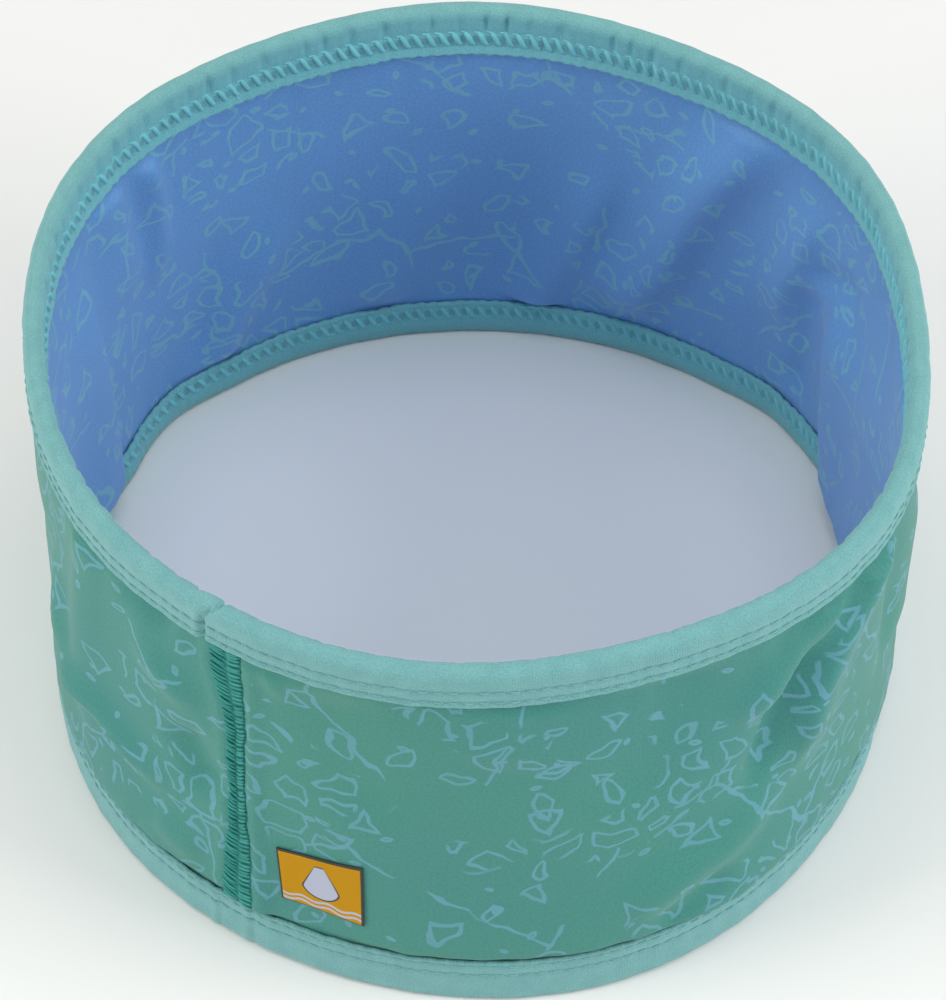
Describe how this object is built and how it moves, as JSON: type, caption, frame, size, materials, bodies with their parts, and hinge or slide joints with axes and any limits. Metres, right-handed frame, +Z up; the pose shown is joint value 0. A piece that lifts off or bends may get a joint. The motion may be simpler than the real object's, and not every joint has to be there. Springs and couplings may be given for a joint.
{
  "type": "dog cooling neck gaiter",
  "caption": "Open cloth tube worn round a dog's neck: a printed outer cloth and a printed lining, bound together at both rims with folded tape, with a side seam and a small patch.",
  "frame": {"origin": "on the floor, under the middle of the part's box", "axes": "+Z up through the neck opening, -Y the side with the seam and the patch, as in the picture"},
  "size_m": [0.1558, 0.1584, 0.088],
  "materials": {
    "outer_cloth": "matt printed knit",
    "lining_cloth": "matt printed knit, slightly silky",
    "binding_tape": "brushed stretch tape with coverstitch",
    "seam_thread": "dense overlock thread",
    "label_patch": "flat woven patch with a dark edge"
  },
  "bodies": {
    "root": {"outer_shell": "outer_cloth", "inner_lining": "lining_cloth", "top_binding": "binding_tape", "bottom_binding": "binding_tape", "side_seam": "seam_thread", "label": "label_patch"}
  },
  "joints": []
}
